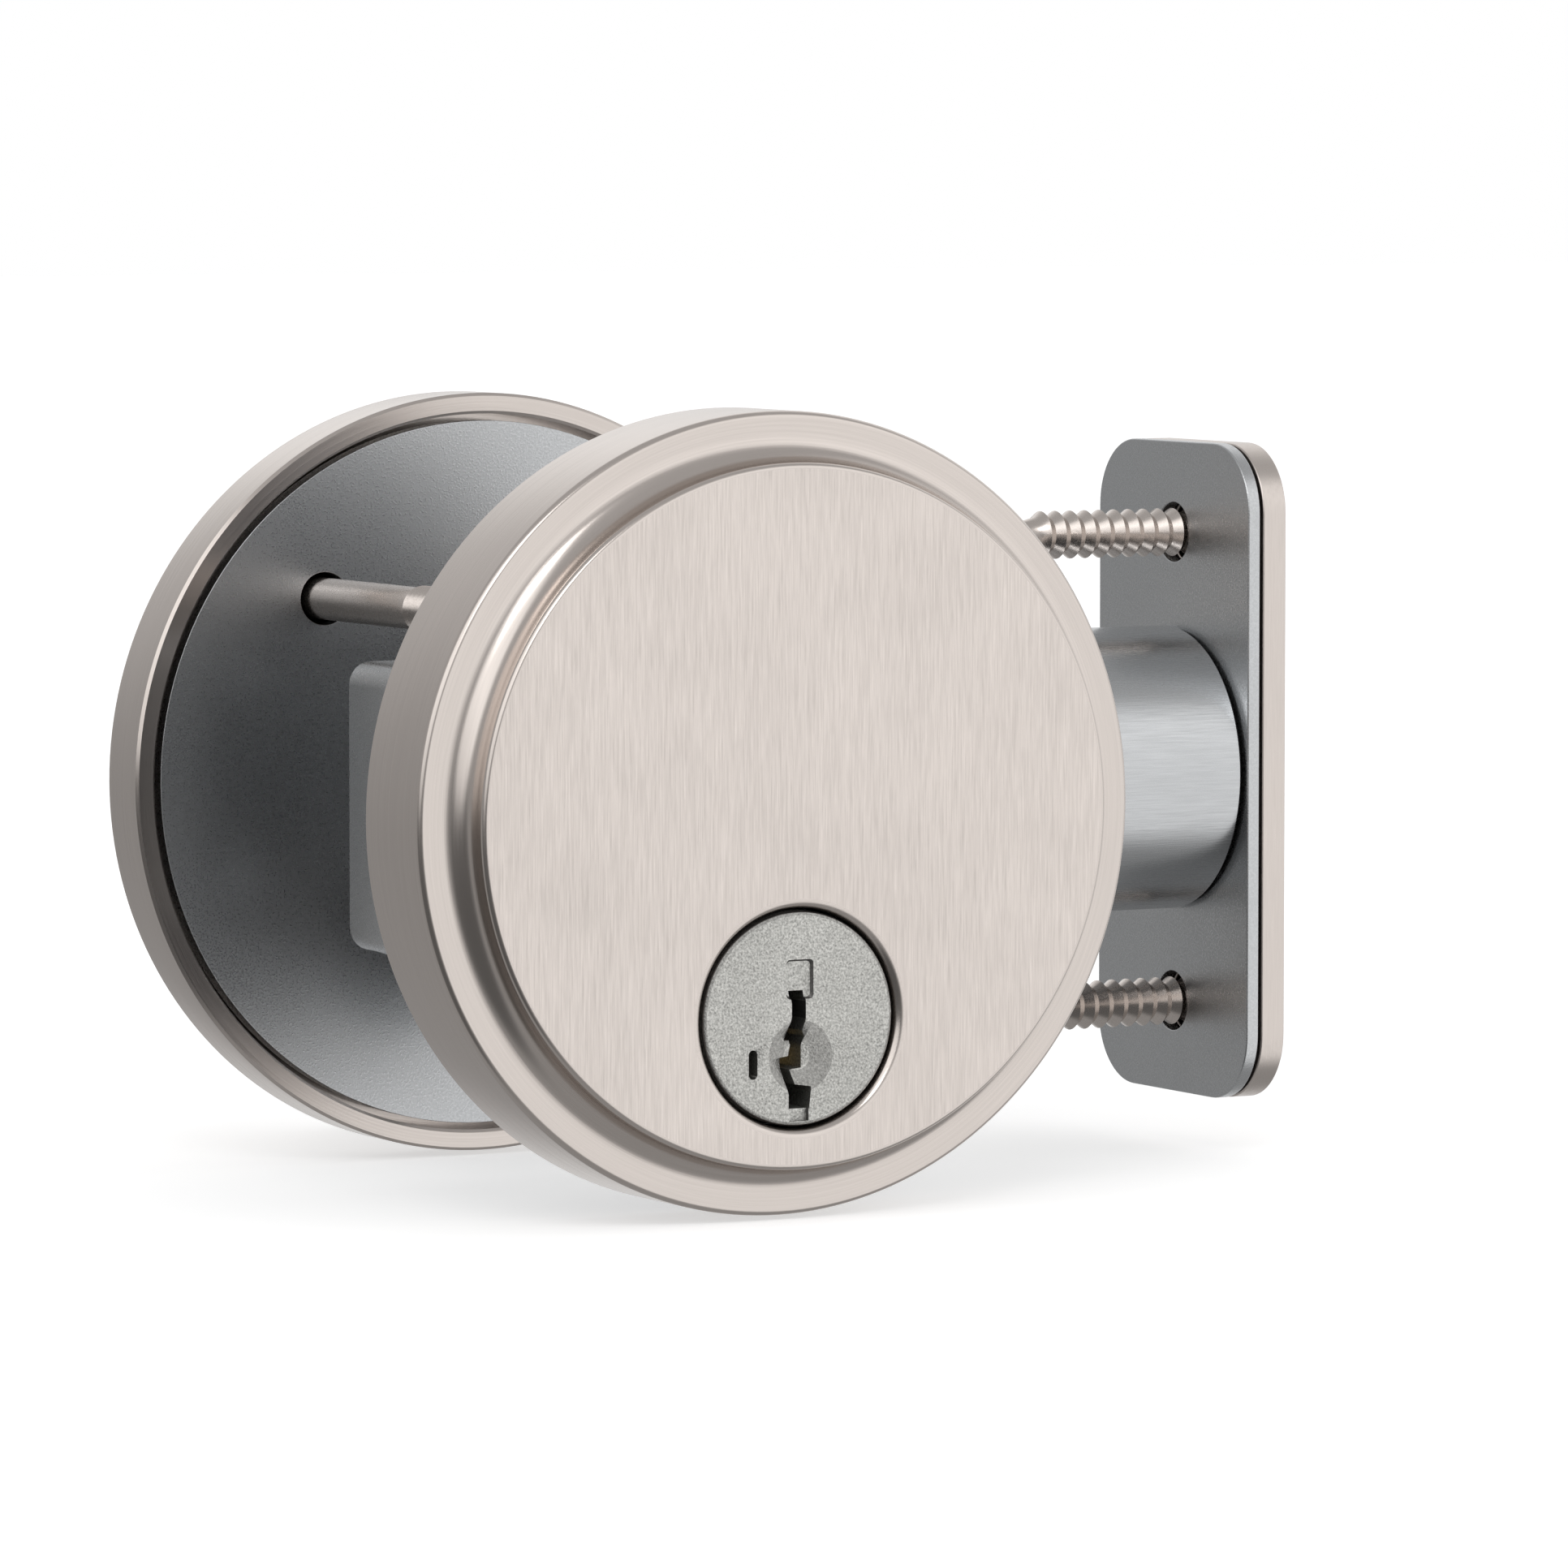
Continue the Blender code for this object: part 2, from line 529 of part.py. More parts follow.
def edge_side():
    """Bolt tube, backing plate and faceplate at the door's edge."""
    backing_x = BACKSET - FACEPLATE_T - GAP - BACKING_T
    inner = TUBE_R - TUBE_WALL
    profile = [
        (inner, TUBE_START), (COLLAR_R, TUBE_START), (COLLAR_R, TUBE_START + 1.2),
        (TUBE_R, TUBE_START + 1.2), (TUBE_R, backing_x - GAP), (inner, backing_x - GAP),
    ]
    turned("bolt_tube", profile, (MID_Y, 0), "X", STEEL, 32)
    ys = (MID_Y - PLATE_W / 2, MID_Y + PLATE_W / 2)
    zs = (-PLATE_H / 2, PLATE_H / 2)
    half_w = BOLT_W / 2 + 0.4
    half_h = BOLT_H / 2 + 0.4
    window = rounded((MID_Y - half_w, MID_Y + half_w), (-half_h, half_h), 3.3, 3)
    outline = rounded(ys, zs, 6.0)
    backing = prism("faceplate_backing", outline, backing_x, backing_x + BACKING_T, "X", STEEL)
    plate = prism("bolt_faceplate", outline, BACKSET - FACEPLATE_T, BACKSET, "X", NICKEL)
    cut(backing, prism("backing_window", window, backing_x - 2, BACKSET - 1, "X"))
    cut(plate, prism("plate_window", window, BACKSET - 4, BACKSET + 2, "X"))
    head_r = 4.2
    for place, z in (("upper", PLATE_SCREW_Z), ("lower", -PLATE_SCREW_Z)):
        sink = [
            (0, BACKSET - 4), (2.6, BACKSET - 4), (2.6, BACKSET - 2.0), (head_r + GAP, BACKSET),
            (head_r + GAP, BACKSET + 1), (0, BACKSET + 1),
        ]
        cut(plate, turned(f"plate_sink_{place}", sink, (MID_Y, z), "X"))
        hole = rod(f"backing_hole_{place}", 2.6, BACKSET - 8, BACKSET - 1, (MID_Y, z), "X", steps=16)
        cut(backing, hole)
        name = f"faceplate_screw_{place}"
        screw = [
            (0, BACKSET - 22), (0.5, BACKSET - 22), (2.1, BACKSET - 18), (2.1, BACKSET - 2.0),
            (head_r, BACKSET - 0.2), (0, BACKSET - 0.2),
        ]
        bars = cross_recess(name, BACKSET - 0.2, -1, "X", MID_Y, z)
        cut(turned(name, screw, (MID_Y, z), "X", NICKEL), *bars)


def cross_recess(name, face, depth_sign, axis, first, second):
    """Two crossed cutters for a screw's drive."""
    low, high = sorted((face - depth_sign, face + 1.4 * depth_sign))
    bars = []
    for number, (half_a, half_b) in enumerate(((2.0, 0.45), (0.45, 2.0))):
        outline = rectangle((first - half_a, first + half_a), (second - half_b, second + half_b))
        bars.append(prism(f"{name}_recess_{number + 1}", outline, low, high, axis))
    return bars


def interior_side():
    inner = rose("interior_rose", INNER_ROSE_H, DOOR, 1, NICKEL)
    cut(inner, rod("turn_hole", 6.3, INNER_FACE_Y - 4, INNER_FACE_Y + 3, ON_AXIS, steps=32))
    plate = rod("interior_plate", 30.6, DOOR + GAP, DOOR + GAP + 1.6, material=STEEL, steps=32)
    cut(plate, rod("plate_turn_hole", 7.0, DOOR - 2, DOOR + 5, ON_AXIS, steps=32))
    head_r = 4.4
    for side, x in (("left", -POST_X), ("right", POST_X)):
        sink = [
            (0, INNER_FACE_Y - 4), (SCREW_R + GAP, INNER_FACE_Y - 4),
            (SCREW_R + GAP, INNER_FACE_Y - 1.35), (head_r + GAP, INNER_FACE_Y),
            (head_r + GAP, INNER_FACE_Y + 2), (0, INNER_FACE_Y + 2),
        ]
        cut(inner, turned(f"rose_sink_{side}", sink, (x, POST_Z)))
        cut(plate, rod(f"plate_hole_{side}", SCREW_R + GAP, DOOR - 2, DOOR + 5, (x, POST_Z), steps=16))
        name = f"mounting_screw_{side}"
        screw = [
            (0, 4.0), (SCREW_R, 4.5), (SCREW_R, INNER_FACE_Y - 1.5), (head_r, INNER_FACE_Y),
            (head_r - 1.2, INNER_FACE_Y + 0.7), (0, INNER_FACE_Y + 0.9),
        ]
        bars = cross_recess(name, INNER_FACE_Y + 0.9, -1, "Y", x, POST_Z)
        cut(turned(name, screw, (x, POST_Z), "Y", NICKEL), *bars)


exterior_side()
key_plug()
for wafer_number in range(1, WAFERS + 1):
    wafer(wafer_number)
turning_train()
sliding_bolt()
bolt_case()
edge_side()
interior_side()
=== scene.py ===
"""Looks of a round satin-nickel deadbolt lock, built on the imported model.

Frame: metres, +Z up, -Y outside, +Y inside, +X towards the door's edge. Lengths in this script are
millimetres, and MM turns them into metres.
"""
import math

import bmesh
import bpy
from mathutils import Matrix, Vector


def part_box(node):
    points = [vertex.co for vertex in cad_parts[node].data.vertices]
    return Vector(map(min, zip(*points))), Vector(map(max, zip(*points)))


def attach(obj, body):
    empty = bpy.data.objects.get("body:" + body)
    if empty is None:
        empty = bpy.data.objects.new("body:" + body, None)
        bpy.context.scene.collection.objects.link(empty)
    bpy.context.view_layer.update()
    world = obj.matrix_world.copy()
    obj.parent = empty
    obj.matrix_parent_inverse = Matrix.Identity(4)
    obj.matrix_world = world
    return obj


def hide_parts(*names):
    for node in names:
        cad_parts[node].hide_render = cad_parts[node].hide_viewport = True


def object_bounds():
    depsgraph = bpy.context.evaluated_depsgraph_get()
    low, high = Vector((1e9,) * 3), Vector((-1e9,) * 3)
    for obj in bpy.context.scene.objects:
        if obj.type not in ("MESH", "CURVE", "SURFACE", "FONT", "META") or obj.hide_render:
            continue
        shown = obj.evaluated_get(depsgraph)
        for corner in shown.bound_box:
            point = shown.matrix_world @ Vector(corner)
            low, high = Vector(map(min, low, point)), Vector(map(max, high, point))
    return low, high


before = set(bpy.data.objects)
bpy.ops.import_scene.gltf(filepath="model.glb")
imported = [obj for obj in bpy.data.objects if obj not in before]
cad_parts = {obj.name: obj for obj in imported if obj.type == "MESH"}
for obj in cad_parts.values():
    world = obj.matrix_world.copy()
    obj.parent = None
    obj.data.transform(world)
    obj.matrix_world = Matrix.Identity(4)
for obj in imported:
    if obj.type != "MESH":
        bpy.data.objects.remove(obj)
cad_low, cad_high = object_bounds()

MM = 0.001
CASE, TRAIN, CYLINDER, BOLT = "lock_case", "turning_train", "key_cylinder", "sliding_bolt"
WAFERS = range(1, 6)


def extent(node):
    """Lowest and highest corner of a CAD node in millimetres."""
    low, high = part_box(node)
    return Vector(low) / MM, Vector(high) / MM


def middle(node):
    low, high = extent(node)
    return (low + high) / 2


# ---------------------------------------------------------------- dimensions, from the frame
ROSE_LOW, ROSE_HIGH = extent("exterior_rose")
ROSE_R = ROSE_HIGH.x
ROSE_H = ROSE_HIGH.y - ROSE_LOW.y
FACE_Y = ROSE_LOW.y
INNER_LOW, INNER_HIGH = extent("interior_rose")
INNER_H = INNER_HIGH.y - INNER_LOW.y
INNER_FACE_Y = INNER_HIGH.y
DOOR = INNER_LOW.y
MID_Y = middle("bolt_bar").y
PLUG_LOW, PLUG_HIGH = extent("key_plug")
PLUG_R = (PLUG_HIGH.x - PLUG_LOW.x) / 2
PLUG_FRONT = PLUG_LOW.y
TURN_Z = middle("key_plug").z
ON_AXIS = (0.0, TURN_Z)
POST_X = middle("mounting_post_right").x
POST_Z = middle("mounting_post_right").z

GAP = 0.3                    # clearance between pieces
BORE_R = PLUG_R + GAP        # bore that the plug turns in
HUB_HOLE_R = 6.3             # holes that the thumbturn's stem passes through
SCREW_HOLE_R = 2.3           # holes that the mounting screws pass through
BLADE_SLOT = (-1.3, 1.3)     # socket for the torque blade, across
BLADE_HEIGHT = 3.8           # half the height of that socket
CASE_LOBE_R = 8.5            # round lobe of the bolt case, about the turning axis
CASE_BOTTOM = -13.5
CASE_WALL = 1.5
FACE_R = 28.4                # edge of the flat face
LIP_R = 0.5                  # rounding between the flat face and the step
COVE_R = 2.4                 # hollow at the foot of the step
SHOULDER_R = 0.6             # rounding of the outer edge
STEP = 3.4                   # flat face down to the outer ring
HOLE_LIP_R = 0.8             # rounding of the rose round the plug
FACE_WALL = 1.6              # rose behind its flat face
SIDE_WALL = 1.8              # rose behind its side
BACK_EDGE = 0.25             # chamfer of the rose where it meets the door


# ---------------------------------------------------------------- outlines
def arc(centre, radius, start, end, steps):
    points = []
    for i in range(steps + 1):
        angle = math.radians(start + (end - start) * i / steps)
        points.append((centre[0] + radius * math.cos(angle), centre[1] + radius * math.sin(angle)))
    return points


def rectangle(first, second):
    return [
        (first[0], second[0]),
        (first[1], second[0]),
        (first[1], second[1]),
        (first[0], second[1]),
    ]


def rounded(first, second, radius, steps=8):
    """Rectangle with round corners."""
    corners = [
        (first[1] - radius, second[0] + radius, -90),
        (first[1] - radius, second[1] - radius, 0),
        (first[0] + radius, second[1] - radius, 90),
        (first[0] + radius, second[0] + radius, 180),
    ]
    outline = []
    for a, b, start in corners:
        outline += arc((a, b), radius, start, start + 90, steps)
    return outline


def at_plug(outline):
    return [(x, z + TURN_Z) for x, z in outline]


# ---------------------------------------------------------------- mesh helpers
def placed(axis, along, first, second):
    """Point with one coordinate along the axis and two across it, in X, Y, Z order."""
    point = {"X": (along, first, second), "Y": (first, along, second), "Z": (first, second, along)}
    return Vector(point[axis])


def shade(thing, sharp):
    """Shade smooth across edges flatter than an angle in degrees."""
    thing.data.shade_smooth()
    thing.data.set_sharp_from_angle(angle=math.radians(sharp))


def add_object(name, bm, smooth=30):
    bmesh.ops.recalc_face_normals(bm, faces=bm.faces)
    bmesh.ops.scale(bm, vec=(MM, MM, MM), verts=bm.verts)
    mesh = bpy.data.meshes.new(name)
    bm.to_mesh(mesh)
    bm.free()
    thing = bpy.data.objects.new(name, mesh)
    bpy.context.scene.collection.objects.link(thing)
    shade(thing, smooth)
    return thing


def turned(name, profile, centre=(0, 0), axis="Y", steps=64, smooth=30):
    """Turn a closed profile of (radius, position along the axis) about the axis."""
    bm = bmesh.new()
    solid = profile[0][0] == 0 and profile[-1][0] == 0
    verts = [bm.verts.new(placed(axis, along, radius, 0)) for radius, along in profile]
    count = len(verts) - 1 if solid else len(verts)
    edges = [bm.edges.new((verts[i], verts[(i + 1) % len(verts)])) for i in range(count)]
    bmesh.ops.spin(
        bm, geom=verts + edges, cent=(0, 0, 0), axis=placed(axis, 1, 0, 0), angle=2 * math.pi,
        steps=steps, use_merge=True,
    )
    bmesh.ops.remove_doubles(bm, verts=bm.verts, dist=0.0005)
    bmesh.ops.translate(bm, vec=placed(axis, 0, *centre), verts=bm.verts)
    return add_object(name, bm, smooth)


def rod(name, radius, low, high, centre=(0, 0), axis="Y", steps=48):
    return turned(name, [(0, low), (radius, low), (radius, high), (0, high)], centre, axis, steps)


def prism(name, outline, low, high, axis="Y"):
    bm = bmesh.new()
    face = bm.faces.new([bm.verts.new(placed(axis, low, *point)) for point in outline])
    extruded = bmesh.ops.extrude_face_region(bm, geom=[face])["geom"]
    moved = [item for item in extruded if isinstance(item, bmesh.types.BMVert)]
    bmesh.ops.translate(bm, vec=placed(axis, high - low, 0, 0), verts=moved)
    return add_object(name, bm)


def block(name, xs, ys, zs):
    return prism(name, rectangle(xs, zs), ys[0], ys[1], "Y")


def settle(thing):
    """Apply the object's modifiers to its mesh."""
    graph = bpy.context.evaluated_depsgraph_get()
    mesh = bpy.data.meshes.new_from_object(thing.evaluated_get(graph))
    thing.modifiers.clear()
    thing.data = mesh
    return thing


def combine(thing, tools, operation):
    for tool in tools:
        boolean = thing.modifiers.new("combine", "BOOLEAN")
        boolean.operation = operation
        boolean.solver = "EXACT"
        boolean.object = tool
    settle(thing)
    for tool in tools:
        bpy.data.objects.remove(tool, do_unlink=True)
    return thing


def cut(thing, *tools):
    return combine(thing, tools, "DIFFERENCE")


def join(thing, *tools):
    return combine(thing, tools, "UNION")


def soften(thing, width, segments=2, angle=35):
    """Round the edges a little, and keep flat faces flat in the shading."""
    bevel = thing.modifiers.new("edges", "BEVEL")
    bevel.width = width * MM
    bevel.segments = segments
    bevel.limit_method = "ANGLE"
    bevel.angle_limit = math.radians(angle)
    bevel.use_clamp_overlap = True
    settle(thing)
    shade(thing, 45)
    weighted = thing.modifiers.new("flats", "WEIGHTED_NORMAL")
    weighted.keep_sharp = True
    weighted.weight = 100
    return thing


def finished(thing, body, look, nodes):
    """Give a piece its material, its body and the CAD nodes that it stands for."""
    thing.data.materials.clear()
    for material in look if isinstance(look, (list, tuple)) else [look]:
        thing.data.materials.append(material)
    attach(thing, body)
    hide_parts(*nodes)
    return thing


# ---------------------------------------------------------------- material helpers
def wire(tree, value, socket):
    """Link a socket, or set a plain value."""
    if isinstance(value, bpy.types.NodeSocket):
        tree.links.new(value, socket)
    else:
        socket.default_value = value


def math_node(tree, operation, *values):
    node = tree.nodes.new("ShaderNodeMath")
    node.operation = operation
    for value, socket in zip(values, node.inputs):
        wire(tree, value, socket)
    return node.outputs[0]


def vector_node(tree, operation, *values):
    node = tree.nodes.new("ShaderNodeVectorMath")
    node.operation = operation
    for value, socket in zip(values, node.inputs):
        wire(tree, value, socket)
    return node.outputs["Value"] if operation in ("LENGTH", "DOT_PRODUCT") else node.outputs[0]


def compose(tree, x, y, z):
    node = tree.nodes.new("ShaderNodeCombineXYZ")
    for value, socket in zip((x, y, z), node.inputs):
        wire(tree, value, socket)
    return node.outputs[0]


def noise(tree, vector, scale=1.0, detail=3.0, roughness=0.6, w=None):
    node = tree.nodes.new("ShaderNodeTexNoise")
    node.noise_dimensions = "3D" if w is None else "4D"
    wire(tree, vector, node.inputs["Vector"])
    node.inputs["Scale"].default_value = scale
    node.inputs["Detail"].default_value = detail
    node.inputs["Roughness"].default_value = roughness
    if w is not None:
        wire(tree, w, node.inputs["W"])
    return node.outputs[0]


def remap(tree, value, low, high, to_low, to_high):
    node = tree.nodes.new("ShaderNodeMapRange")
    for number, socket in zip((value, low, high, to_low, to_high), node.inputs):
        wire(tree, number, socket)
    return node.outputs[0]


def tint(tree, factor, first, second):
    node = tree.nodes.new("ShaderNodeMix")
    node.data_type = "RGBA"
    wire(tree, factor, node.inputs[0])
    wire(tree, (*first, 1.0), node.inputs[6])
    wire(tree, (*second, 1.0), node.inputs[7])
    return node.outputs[2]


def bump(tree, height, strength, distance, normal=None):
    node = tree.nodes.new("ShaderNodeBump")
    node.inputs["Strength"].default_value = strength
    node.inputs["Distance"].default_value = distance
    wire(tree, height, node.inputs["Height"])
    if normal is not None:
        wire(tree, normal, node.inputs["Normal"])
    return node.outputs[0]


def shaded(colour, amount):
    return tuple(min(1.0, channel * amount) for channel in colour)


def coordinates(tree):
    return tree.nodes.new("ShaderNodeTexCoord").outputs["Object"]


ACROSS_BRUSH, ALONG_BRUSH = 6800.0, 260.0    # noise per metre across and along the brush lines
ROUND_BRUSH = 2.2                            # noise once round the rose
MARKS = 90.0                                 # noise per metre of the handling marks
PITS = 5200.0                                # noise per metre of the pitted, unbrushed metals
LINE_DEPTH, PIT_DEPTH = 0.00003, 0.00006     # metres
LOW_NOISE, HIGH_NOISE = 0.3, 0.7             # the part of the noise that is spread to full contrast


def brush_lines(tree, lay):
    """Coordinates for fine brush lines that run along an axis, or circle the rose's axis."""
    point = coordinates(tree)
    if lay != "round y":
        scale = [ACROSS_BRUSH] * 3
        scale["xyz".index(lay[-1])] = ALONG_BRUSH
        return vector_node(tree, "MULTIPLY", point, tuple(scale)), None
    split = tree.nodes.new("ShaderNodeSeparateXYZ")
    wire(tree, point, split.inputs[0])
    x, y, z = split.outputs
    flat = compose(tree, x, z, 0.0)
    radius = vector_node(tree, "LENGTH", flat)
    way = vector_node(
        tree, "MULTIPLY", vector_node(tree, "NORMALIZE", flat), (ROUND_BRUSH, ROUND_BRUSH, 0.0)
    )
    rings = compose(tree, math_node(tree, "MULTIPLY", radius, ACROSS_BRUSH), 0.0, 0.0)
    sideways = vector_node(tree, "DOT_PRODUCT", way, (1.0, 0.0, 0.0))
    vector = vector_node(tree, "ADD", rings, vector_node(tree, "MULTIPLY", way, (0, 1, 0)))
    depth = math_node(tree, "MULTIPLY", y, ACROSS_BRUSH)
    return vector, math_node(tree, "ADD", depth, sideways)


def metal(name, colour, roughness, lay=None, streak=0.05, spread=0.08, depth=0.2, grain=0.0):
    """Plated or bare metal with brush lines, soft handling marks and an optional fine grain."""
    material = bpy.data.materials.new(name)
    material.use_nodes = True
    tree = material.node_tree
    shader = tree.nodes["Principled BSDF"]
    shader.inputs["Metallic"].default_value = 1.0
    point = coordinates(tree)
    marks = noise(tree, point, MARKS, 4.0, 0.55)
    if lay:
        vector, w = brush_lines(tree, lay)
        lines = noise(tree, vector, 1.0, 3.0, 0.65, w)
    else:
        lines = noise(tree, point, PITS, 2.0, 0.6)
    factor = math_node(tree, "ADD", math_node(tree, "MULTIPLY", lines, 0.8),
                       math_node(tree, "MULTIPLY", marks, 0.2))
    contrast = remap(tree, factor, LOW_NOISE, HIGH_NOISE, 0.0, 1.0)
    wire(tree, tint(tree, contrast, shaded(colour, 1 - streak), shaded(colour, 1 + streak)),
         shader.inputs["Base Color"])
    rough = remap(tree, factor, LOW_NOISE, HIGH_NOISE, roughness + spread, roughness - spread)
    wire(tree, rough, shader.inputs["Roughness"])
    normal = bump(tree, lines, depth, LINE_DEPTH)
    if grain:
        pits = noise(tree, point, PITS, 2.0, 0.7)
        normal = bump(tree, pits, grain, PIT_DEPTH, normal)
    wire(tree, normal, shader.inputs["Normal"])
    return material


NICKEL = (0.665, 0.605, 0.565)
# Flat faces: the rim's nickel made 5 % brighter as painted light, with their own vertical brush
# lines.
face_nickel_painted_light = metal("face_nickel_painted_light", shaded(NICKEL, 1.05), 0.34, "along z", streak=0.13, spread=0.05,
                    depth=0.3)
rim_nickel = metal("rim_nickel", NICKEL, 0.22, "round y", streak=0.04, spread=0.05, depth=0.15)
plug_nickel = metal("plug_nickel", (0.52, 0.515, 0.49), 0.42, None, streak=0.42, spread=0.10,
                    depth=0.5, grain=1.0)
# Machined dimple: smoother finish of its own, with its colour darkened as painted shade of the
# hollow.
dimple_nickel_painted_shade = metal("dimple_nickel_painted_shade", (0.33, 0.325, 0.31), 0.30, None, streak=0.35, spread=0.08,
                      depth=0.4, grain=0.8)
# Near-black nickel: painted shade on the walls of the plug's small recesses.
plug_painted_shade = metal("plug_painted_shade", (0.16, 0.155, 0.15), 0.5, None, streak=0.3, spread=0.1,
                    depth=0.3)
turn_nickel = metal("turn_nickel", NICKEL, 0.30, "along z", streak=0.03, spread=0.05, depth=0.2)
edge_nickel = metal("edge_nickel", NICKEL, 0.32, "along z", streak=0.04, spread=0.06, depth=0.25)
screw_nickel = metal("screw_nickel", NICKEL, 0.25, None, streak=0.04, spread=0.06, depth=0.1)
bolt_nickel = metal("bolt_nickel", (0.62, 0.58, 0.54), 0.24, "along x", streak=0.05, spread=0.06,
                    depth=0.2)
zinc = metal("die_cast_zinc", (0.40, 0.40, 0.41), 0.52, None, streak=0.10, spread=0.08, depth=0.3,
             grain=0.8)
plated = metal("zinc_plated_steel", (0.56, 0.57, 0.58), 0.30, None, streak=0.07, spread=0.08,
               depth=0.15, grain=0.15)
tube_steel = metal("drawn_steel", (0.55, 0.56, 0.57), 0.26, "along x", streak=0.07, spread=0.08,
                   depth=0.2)
hard_steel = metal("black_oxide", (0.09, 0.09, 0.10), 0.38, None, streak=0.12, spread=0.08,
                   depth=0.2, grain=0.2)
brass = metal("machined_brass", (0.72, 0.52, 0.22), 0.28, "along z", streak=0.06, spread=0.06,
              depth=0.2)
spring_steel = metal("spring_steel", (0.42, 0.42, 0.44), 0.24, None, streak=0.06, spread=0.05,
                     depth=0.1)


# ---------------------------------------------------------------- roses
def rose_section(height):
    """Outer section of a rose as (radius, height above the door), from the door to the face."""
    ring = height - STEP
    side = FACE_R + LIP_R
    points = [(ROSE_R - BACK_EDGE, 0.0), (ROSE_R, BACK_EDGE)]
    points += arc((ROSE_R - SHOULDER_R, ring - SHOULDER_R), SHOULDER_R, 0, 90, 8)
    points += arc((side + COVE_R, ring + COVE_R), COVE_R, 270, 180, 14)
    points += arc((FACE_R, height - LIP_R), LIP_R, 0, 90, 12)
    return points


def rose_shell(name, height, door_face, outward):
    """Turned shell, open towards the door, with a flat face."""
    roof, ledge = height - FACE_WALL, height - STEP - FACE_WALL
    cup, rim = FACE_R - 0.4, ROSE_R - SIDE_WALL
    inner = [
        (0, roof), (cup, roof), (cup, ledge), (rim, ledge), (rim, BACK_EDGE), (rim + BACK_EDGE, 0),
    ]
    profile = inner + rose_section(height) + [(0, height)]
    return turned(name, [(r, door_face + outward * h) for r, h in profile], steps=192, smooth=22)


def split_face(thing, face_y):
    """Use the second material on the flat face."""
    for polygon in thing.data.polygons:
        flat = abs(polygon.normal.y) > 0.999 and abs(polygon.center.y - face_y * MM) < 0.02 * MM
        polygon.material_index = 1 if flat else 0


def exterior_rose():
    rose = rose_shell("outer_rose", ROSE_H, 0.0, -1.0)
    lip = arc((BORE_R + HOLE_LIP_R, FACE_Y + HOLE_LIP_R), HOLE_LIP_R, 270, 180, 10)
    seat = [(0, FACE_Y - 1), (BORE_R + HOLE_LIP_R, FACE_Y - 1)] + lip
    seat += [(BORE_R, FACE_Y + 3), (0, FACE_Y + 3)]
    cut(rose, turned("seat", seat, ON_AXIS, steps=128))
    shade(rose, 24)
    finished(rose, CASE, [rim_nickel, face_nickel_painted_light], ["exterior_rose"])
    split_face(rose, FACE_Y)


def interior_rose():
    rose = rose_shell("inner_rose", INNER_H, DOOR, 1.0)
    tools = [rod("hole", HUB_HOLE_R, INNER_FACE_Y - 4, INNER_FACE_Y + 3, ON_AXIS)]
    head, depth = 4.7, 1.35
    sink = [
        (0, INNER_FACE_Y - 4), (SCREW_HOLE_R, INNER_FACE_Y - 4),
        (SCREW_HOLE_R, INNER_FACE_Y - depth), (head, INNER_FACE_Y), (head, INNER_FACE_Y + 2),
        (0, INNER_FACE_Y + 2),
    ]
    for x in (-POST_X, POST_X):
        tools.append(turned("sink", sink, (x, POST_Z)))
    cut(rose, *tools)
    shade(rose, 24)
    finished(rose, CASE, [rim_nickel, face_nickel_painted_light], ["interior_rose"])
    split_face(rose, INNER_FACE_Y)


# ---------------------------------------------------------------- key cylinder
KEYWAY = at_plug([
    (-0.8, 2.3), (-0.6, 1.2), (-0.6, 0.1), (-1.1, -1.5), (-1.1, -1.8), (-0.6, -1.8), (-0.4, -2.2),
    (-0.6, -3.1), (-1.5, -3.2), (-1.5, -4.0), (-0.9, -6.2), (-0.9, -7.4), (1.0, -7.4), (1.2, -5.6),
    (-0.2, -5.4), (-0.5, -4.2), (0.6, -4.1), (0.6, -2.3), (0.8, -1.5), (0.5, -1.0), (0.7, 0.0),
    (0.7, 1.4), (0.55, 2.3),
])


DIMPLE_DEPTH = 0.7
PLUG_GROWTH = 0.07           # the plug is this much larger in radius than in the CAD


def drafted_recess(xs, zs, front, depth, draft):
    """Cutter for a shallow recess that narrows towards its floor."""
    centre = Vector(((xs[0] + xs[1]) / 2, front, (zs[0] + zs[1]) / 2 + TURN_Z)) * MM
    tool = prism("recess", at_plug(rounded(xs, zs, 0.35)), front - depth, front + depth)
    for vertex in tool.data.vertices:
        change = draft * MM if vertex.co.y < centre.y else -draft * MM
        vertex.co.x += change if vertex.co.x > centre.x else -change
        vertex.co.z += change if vertex.co.z > centre.z else -change
    return tool


def mark_plug(plug, front):
    """Second material on the machined dimple, darkened as painted shade; third, near black, as
    painted shade on the walls of the small recesses.
    """
    wall, flat = 0.85, 0.99
    for polygon in plug.data.polygons:
        if 0.01 < polygon.center.y / MM - front < DIMPLE_DEPTH + 0.05:
            facing = abs(polygon.normal.y)
            polygon.material_index = 1 if wall < facing < flat else 2 if facing <= wall else 0


